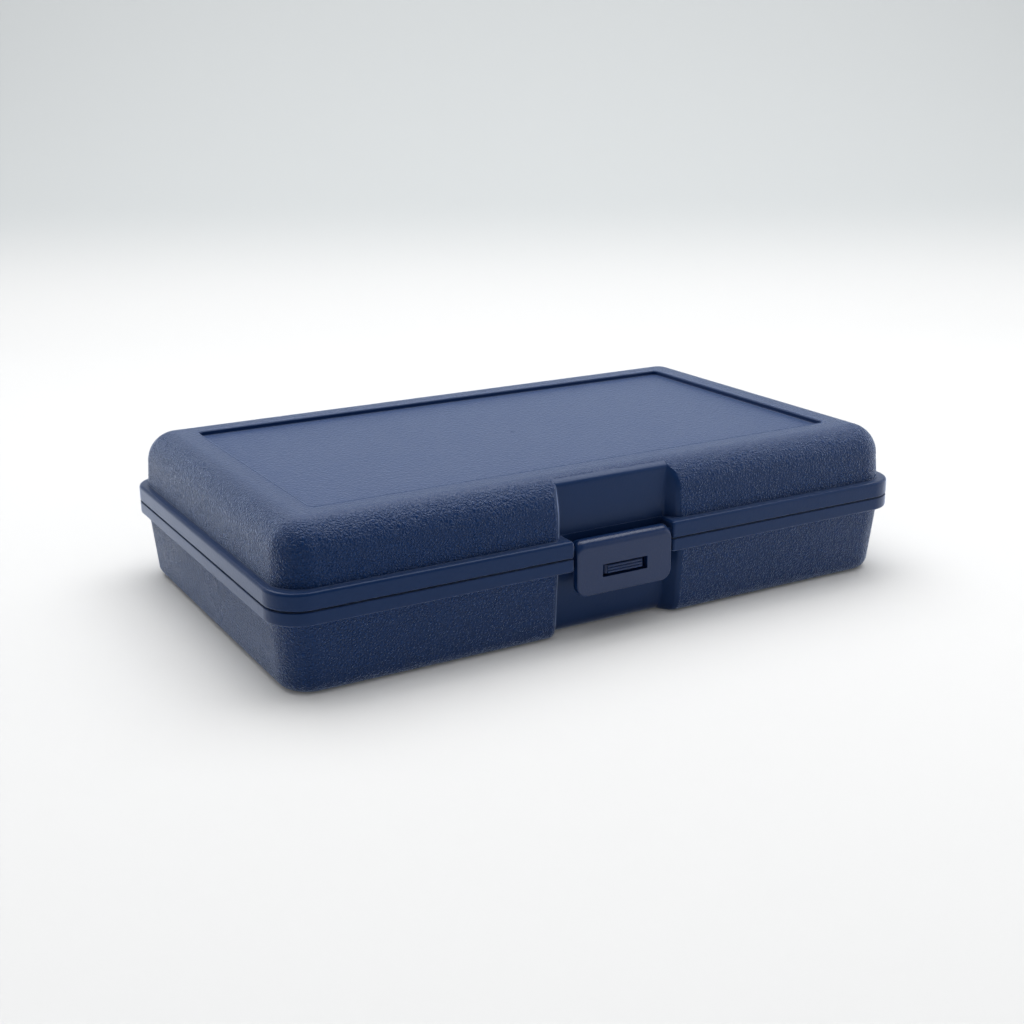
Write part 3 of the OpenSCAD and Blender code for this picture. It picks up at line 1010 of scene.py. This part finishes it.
def hinge_bores(clearance):
    """Rods that cut the pins' bores through both hinges."""
    middle, half = hinge_layout()[0], 30 * MM
    return [rod_along_x(side * middle - half, side * middle + half, (HINGE.y, HINGE.z),
                        (PIN_HIGH.y - PIN_LOW.y) / 2 + clearance) for side in (-1, 1)]


def latch_bore(x0, x1, clearance):
    """Rod that cuts the bore for the latch's pin."""
    low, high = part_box("latch_pin")
    return rod_along_x(x0, x1, (PIVOT.y, PIVOT.z), (high.y - low.y) / 2 + clearance)


def disc_grid(name, columns, rows, long, deep, radius, thick, z):
    """Flat round mould marks on a grid about the middle of the case."""
    return run_tree(mark_tree(), {
        "Columns": columns, "Rows": rows, "Length": long, "Depth": deep, "Radius": radius,
        "Thickness": thick, "Place": (0.0, 0.0, z), "Material": shell_material()}, name)


class CASE_OT_base_shell(bpy.types.Operator):
    """Build the base: grained walls, smooth rim, notch, ridge and hinge knuckles"""
    bl_idname = "case.base_shell"
    bl_label = "Base shell"

    def execute(self, context):
        s, marks = context.scene.case_shell, context.scene.case_marks
        skin = base_skin(s)
        me = skin.mesh("base_skin")
        middle, lid_long, long = hinge_layout()
        top = PARTING - s.gap / 2
        radius = BASE_HIGH.y - HINGE.y
        tools = [knuckle_mesh(side * middle + k * (lid_long + long + KNUCKLE_GAPS) / 2, long,
                              HINGE.z - radius, top - 0.1 * MM)
                 for side in (-1, 1) for k in (-1, 1)]
        pad = block((-9.5 * MM, -HALF_D + s.notch_back - 0.8 * MM, CATCH_LOW.z - 0.8 * MM),
                    (9.5 * MM, -HALF_D + s.notch_back + 1.4 * MM, CATCH_HIGH.z + 0.6 * MM), 0.2 * MM)
        discs = disc_grid("floor_marks", marks.columns, marks.rows, 1.5 * HALF_L, 1.1 * HALF_D,
                          marks.radius, 1.0 * MM, s.wall + marks.rise - 0.5 * MM)
        me = combined("base_body", me, [joined(tools + [pad, discs], "base_additions")], "UNION")
        bores = hinge_bores(PIN_HOLD)
        slot = block((-5 * MM, -HALF_D + s.notch_back - 3 * MM, CATCH_LOW.z + 2.1 * MM),
                     (5 * MM, -HALF_D + s.notch_back + 5 * MM, CATCH_LOW.z + 5.5 * MM))
        me = combined("base_cut", me, [joined(bores + [slot], "base_cuts")], "DIFFERENCE")
        carry_masks(me, skin)
        place_piece("case_base", me, shell_material(), "base", ["base_shell"])
        return {"FINISHED"}


class CASE_OT_lid_shell(bpy.types.Operator):
    """Build the lid: sunk panel, grained dome, smooth rim, notch and hinge knuckles"""
    bl_idname = "case.lid_shell"
    bl_label = "Lid shell"

    def execute(self, context):
        s, marks = context.scene.case_shell, context.scene.case_marks
        skin = lid_skin(s)
        me = skin.mesh("lid_skin")
        middle, long, _ = hinge_layout()
        low = PARTING + s.gap / 2
        radius = LID_HIGH.y - HINGE.y
        tools = [knuckle_mesh(side * middle, long, low + 0.1 * MM, HINGE.z + radius) for side in (-1, 1)]
        drop = CASE_H - s.panel_step - s.wall + 0.2 * MM
        discs = disc_grid("ceiling_marks", marks.columns, marks.rows, 1.3 * HALF_L, 0.9 * HALF_D,
                          marks.radius, 1.0 * MM, drop - marks.rise + 0.5 * MM)
        gate = disc_grid("gate_mark", 1, 1, 0.0, 0.0, marks.gate, 0.6 * MM,
                         CASE_H - s.panel_step - 0.22 * MM)
        me = combined("lid_body", me, [joined(tools + [discs, gate], "lid_additions")], "UNION")
        bores = hinge_bores(PIN_RUN)
        pin_low, pin_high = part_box("latch_pin")
        bores.append(latch_bore(pin_low.x - 0.2 * MM, pin_high.x + 0.2 * MM, PIN_HOLD))
        me = combined("lid_cut", me, [joined(bores, "lid_cuts")], "DIFFERENCE")
        carry_masks(me, skin)
        place_piece("case_lid", me, shell_material(), "lid", ["lid_shell"])
        return {"FINISHED"}


# ---------------------------------------------------------------- latch and catch

def upright_ring(y, right, low, high, low_round, high_round, steps=12):
    """Closed ring in a plane across Y: a rectangle with its own lower and upper corner radii."""
    a, b = max(low_round, 0.05 * MM), max(high_round, 0.05 * MM)
    half = np.concatenate([
        line((0, low), (right - a, low), 6),
        bend((right - a, low), (right, low), (right, low + a), steps)[:-1],
        line((right, low + a), (right, high - b), 6),
        bend((right, high - b), (right, high), (right - b, high), steps)[:-1],
        line((right - b, high), (0, high), 6),
        np.array([[0, high]])])
    other = half[-2:0:-1] * np.array([-1, 1])
    xz = np.concatenate([half, other])
    return np.column_stack([xz[:, 0], np.full(len(xz), y), xz[:, 1]])


def loft(rings, name):
    """Closed solid through rings that all have the same number of points."""
    n = len(rings[0])
    faces = [list(range(n)), [(len(rings) - 1) * n + i for i in range(n)][::-1]]
    for k in range(len(rings) - 1):
        faces += [[k * n + i, (k + 1) * n + i, (k + 1) * n + (i + 1) % n, k * n + (i + 1) % n]
                  for i in range(n)]
    me = bpy.data.meshes.new(name)
    me.from_pydata(np.concatenate(rings).tolist(), [], faces)
    bm = bmesh.new()
    bm.from_mesh(me)
    bmesh.ops.remove_doubles(bm, verts=bm.verts, dist=1e-6)
    bmesh.ops.recalc_face_normals(bm, faces=bm.faces)
    bm.to_mesh(me)
    bm.free()
    return me


class CASE_OT_latch(bpy.types.Operator):
    """Build the latch flap with its rolled upper edge and window"""
    bl_idname = "case.latch"
    bl_label = "Latch"

    def execute(self, context):
        t = context.scene.case_latch
        front, low = LATCH_LOW.y, LATCH_LOW.z
        half = LATCH_HIGH.x
        roll = PIVOT.y - front                       # radius of the rolled edge
        high = PIVOT.z + roll
        e = t.soft_edge
        rings = []
        for turn in np.radians(np.linspace(0, 90, 19)):
            # the rolled edge sets each layer's depth, and the small edge follows it
            y = PIVOT.y - roll * math.cos(turn)
            sunk = min(y - front, e)
            soft = e - math.sqrt(max(e * e - (e - sunk) ** 2, 0))
            rings.append(upright_ring(y, half - soft, low + soft, high - roll * (1 - math.sin(turn)),
                                      t.low_corner - soft, t.top_corner - soft))
        back = front + t.thick
        for turn in np.radians((30, 60, 90)):
            soft = e * (1 - math.cos(turn))
            rings.append(upright_ring(back - e * (1 - math.sin(turn)), half - soft, low + soft,
                                      high, t.low_corner - soft, t.top_corner))
        rings = [r for r in rings if r[0, 1] <= back + 1e-7]
        rings.sort(key=lambda r: r[0, 1])
        for turn in np.radians(np.linspace(0, 84, 12)):
            y = back + (PIVOT.y + roll - back) * math.sin(turn)
            tall = math.sqrt(max(roll ** 2 - (y - PIVOT.y) ** 2, 0.0))
            soft = 0.9 * MM * (1 - math.cos(turn))
            rings.append(upright_ring(y, half - soft, PIVOT.z - tall, PIVOT.z + tall,
                                      min(0.8 * MM, 0.8 * tall), min(t.top_corner, 0.8 * tall)))
        me = loft(rings, "latch_body")
        middle = PIVOT.z - t.window_drop
        window = block((-t.window_w / 2, front - 2 * MM, middle - t.window_h / 2),
                       (t.window_w / 2, back + 1 * MM, middle + t.window_h / 2))
        bore = latch_bore(-30 * MM, 30 * MM, PIN_RUN)
        me = combined("latch_cut", me, [joined([window, bore], "latch_cuts")], "DIFFERENCE")
        place_piece("case_latch", me, smooth_material(), "latch", ["latch"])
        return {"FINISHED"}


class CASE_OT_catch(bpy.types.Operator):
    """Build the ribbed catch that fills the latch's window"""
    bl_idname = "case.catch"
    bl_label = "Catch"

    def execute(self, context):
        c, t = context.scene.case_catch, context.scene.case_latch
        half, tall = t.window_w / 2 - 0.85 * MM, t.window_h - 1.2 * MM
        face, middle = CATCH_LOW.y, PIVOT.z - t.window_drop + 0.1 * MM
        wall = -HALF_D + context.scene.case_shell.notch_back      # front of the base's wall
        seat = wall - 0.8 * MM                                    # front of the raised pad on it
        pitch = tall / c.ribs
        # tongue, its ends cut back on the slant
        root, tip = seat - 1 * MM, face + 0.35 * MM
        plan = [(-half, root), (half, root), (half, tip + c.bevel), (half - c.bevel, tip),
                (-half + c.bevel, tip), (-half, tip + c.bevel)]
        tongue = bpy.data.meshes.new("tongue")
        n = len(plan)
        tongue.from_pydata([(x, y, middle + k * tall / 2) for k in (-1, 1) for x, y in plan], [],
                           [list(range(n))[::-1], [n + i for i in range(n)]]
                           + [[i, (i + 1) % n, n + (i + 1) % n, n + i] for i in range(n)])
        outward(tongue)
        ribs = run_tree(rib_tree(), {
            "Count": c.ribs, "Pitch": pitch, "Length": 2 * (half - c.bevel - c.inset / 2),
            "Radius": 0.47 * pitch, "First": (0.0, face + pitch / 2, middle - tall / 2 + pitch / 2),
            "Material": smooth_material("Navy catch plastic")}, "catch_ribs")
        flange = block((CATCH_LOW.x, seat - 1.2 * MM, CATCH_LOW.z),
                       (CATCH_HIGH.x, seat, CATCH_HIGH.z), 0.3 * MM)
        leg_x, leg_z, barb_x, barb_z = 4.7 * MM, 1.4 * MM, 4.65 * MM, 2 * MM
        leg = block((-leg_x, seat - 0.6 * MM, middle - leg_z), (leg_x, wall + 4.2 * MM, middle + leg_z))
        barb = block((-barb_x, wall + 3.4 * MM, middle - barb_z),
                     (barb_x, CATCH_HIGH.y, middle + barb_z), 0.25 * MM)
        me = combined("catch_body", flange, [tongue, ribs, leg, barb], "UNION")
        place_piece("case_catch", me, smooth_material("Navy catch plastic"), "base", ["catch"])
        return {"FINISHED"}


class CASE_OT_pins(bpy.types.Operator):
    """Give the steel hinge pins their drawn-wire finish and the latch pin its plastic"""
    bl_idname = "case.pins"
    bl_label = "Pins"

    def execute(self, context):
        for name, material in (("latch_pin", smooth_material()), ("hinge_pin_left", steel_material()),
                               ("hinge_pin_right", steel_material())):
            slots = frame["nodes"][name].data.materials
            slots.clear()
            slots.append(material)
        return {"FINISHED"}


# ---------------------------------------------------------------- stage

def softbox(name, place, aim, width, height, watts):
    """Rectangular area light that the camera does not see."""
    lamp = bpy.data.lights.new(name, "AREA")
    lamp.shape, lamp.size, lamp.size_y = "RECTANGLE", width, height
    lamp.energy = watts
    obj = bpy.data.objects.new(name, lamp)
    obj.location = place
    obj.rotation_euler = (Vector(aim) - Vector(place)).to_track_quat("-Z", "Y").to_euler()
    obj.visible_camera = False
    bpy.context.scene.collection.objects.link(obj)
    return obj


class CASE_OT_stage(bpy.types.Operator):
    """Set out the pale sweep, the softboxes and the camera"""
    bl_idname = "case.stage"
    bl_label = "Stage"

    def execute(self, context):
        g = context.scene.case_stage
        # floor that sweeps up behind the case
        along = Vector((math.sin(g.heading), math.cos(g.heading), 0))
        across = Vector((math.cos(g.heading), -math.sin(g.heading), 0))
        up = Vector((0, 0, 1))
        near, bent, curve, high, half = -0.95, 0.4, 0.5, 1.8, 2.2
        track = [(near, 0.0), (bent, 0.0)]
        track += [(bent + curve * math.sin(a), curve - curve * math.cos(a))
                  for a in np.radians(np.linspace(5, 90, 18))]
        track += [(bent + curve, high)]
        verts = [tuple(along * run + across * side + up * rise)
                 for run, rise in track for side in (-half, half)]
        faces = [[2 * i, 2 * i + 1, 2 * i + 3, 2 * i + 2] for i in range(len(track) - 1)]
        me = bpy.data.meshes.new("sweep")
        me.from_pydata(verts, [], faces)
        me.materials.append(floor_material())
        me.shade_smooth()
        sweep = new_object("sweep", me)
        # light tent: the overhead box hangs behind the case, so the front stays in shade
        softbox("overhead", along * 0.26 + up * 0.84, (0, 0, 0), 1.3, 0.9, g.overhead)
        for name, side, watts in (("left_panel", -0.7, g.left), ("right_panel", 0.7, g.right)):
            softbox(name, along * 0.05 + across * side + up * 0.24, (0, 0, 0), 0.9, 0.45, watts)
        back = softbox("back_light", along * -0.3 + up * 0.6, along * 0.9 + up * 0.35, 2.4, 1.0, g.back)
        wash = softbox("sweep_wash", along * -0.35 + up * 1.6, along * -0.35, 2.6, 2.6, g.wash)
        lit = bpy.data.collections.new("Sweep only")
        lit.objects.link(sweep)
        for lamp in (back, wash):
            lamp.light_linking.receiver_collection = lit
            lamp.light_linking.blocker_collection = lit
        world = bpy.data.worlds.new("Tent")
        world.use_nodes = True
        tree = world.node_tree
        sky = tree.nodes["Background"]
        sky.inputs["Color"].default_value = (0.93, 0.96, 1.0, 1.0)
        # the surround looks pale, yet gives only the ambient light
        seen = node(tree, "ShaderNodeLightPath").outputs["Is Camera Ray"]
        tree.links.new(mix_value(tree, seen, g.ambient, 0.84), sky.inputs["Strength"])
        context.scene.world = world
        context.scene.view_settings.view_transform = "Standard"
        # camera
        cam = bpy.data.cameras.new("camera")
        cam.lens, cam.sensor_width, cam.sensor_fit = g.lens, 36.0, "HORIZONTAL"
        cam.clip_start, cam.clip_end = 0.01, 20.0
        obj = bpy.data.objects.new("camera", cam)
        obj.matrix_world = (Matrix.Translation(g.place) @ Matrix.Rotation(-g.heading, 4, "Z")
                            @ Matrix.Rotation(math.pi / 2 - g.pitch, 4, "X")
                            @ Matrix.Rotation(g.roll, 4, "Z"))
        context.scene.collection.objects.link(obj)
        context.scene.camera = obj
        return {"FINISHED"}


# ---------------------------------------------------------------- panel and registration

class CASE_PT_panel(bpy.types.Panel):
    """Sidebar panel that lists the pieces and their sizes"""
    bl_label = "Pencil case"
    bl_idname = "CASE_PT_panel"
    bl_space_type = "VIEW_3D"
    bl_region_type = "UI"
    bl_category = "Pencil case"

    def draw(self, context):
        for operator in OPERATORS:
            self.layout.operator(operator.bl_idname)
        for label, group in SETTINGS.items():
            box = self.layout.box()
            box.label(text=group.__doc__)
            settings = getattr(context.scene, label)
            for name in group.__annotations__:
                box.prop(settings, name)


SETTINGS = {"case_shell": ShellSettings, "case_latch": LatchSettings, "case_catch": CatchSettings,
            "case_marks": MarkSettings, "case_finish": FinishSettings, "case_stage": StageSettings}
OPERATORS = (CASE_OT_base_shell, CASE_OT_lid_shell, CASE_OT_latch, CASE_OT_catch, CASE_OT_pins,
             CASE_OT_stage)


def register():
    for cls in (*SETTINGS.values(), *OPERATORS, CASE_PT_panel):
        bpy.utils.register_class(cls)
    for label, group in SETTINGS.items():
        setattr(bpy.types.Scene, label, PointerProperty(type=group))


def unregister():
    for label in SETTINGS:
        delattr(bpy.types.Scene, label)
    for cls in (CASE_PT_panel, *reversed(OPERATORS), *reversed(list(SETTINGS.values()))):
        bpy.utils.unregister_class(cls)


def main():
    register()
    bpy.ops.case.base_shell()
    bpy.ops.case.lid_shell()
    bpy.ops.case.latch()
    bpy.ops.case.catch()
    bpy.ops.case.pins()
    bpy.ops.case.stage()


if __name__ == "__main__":
    main()
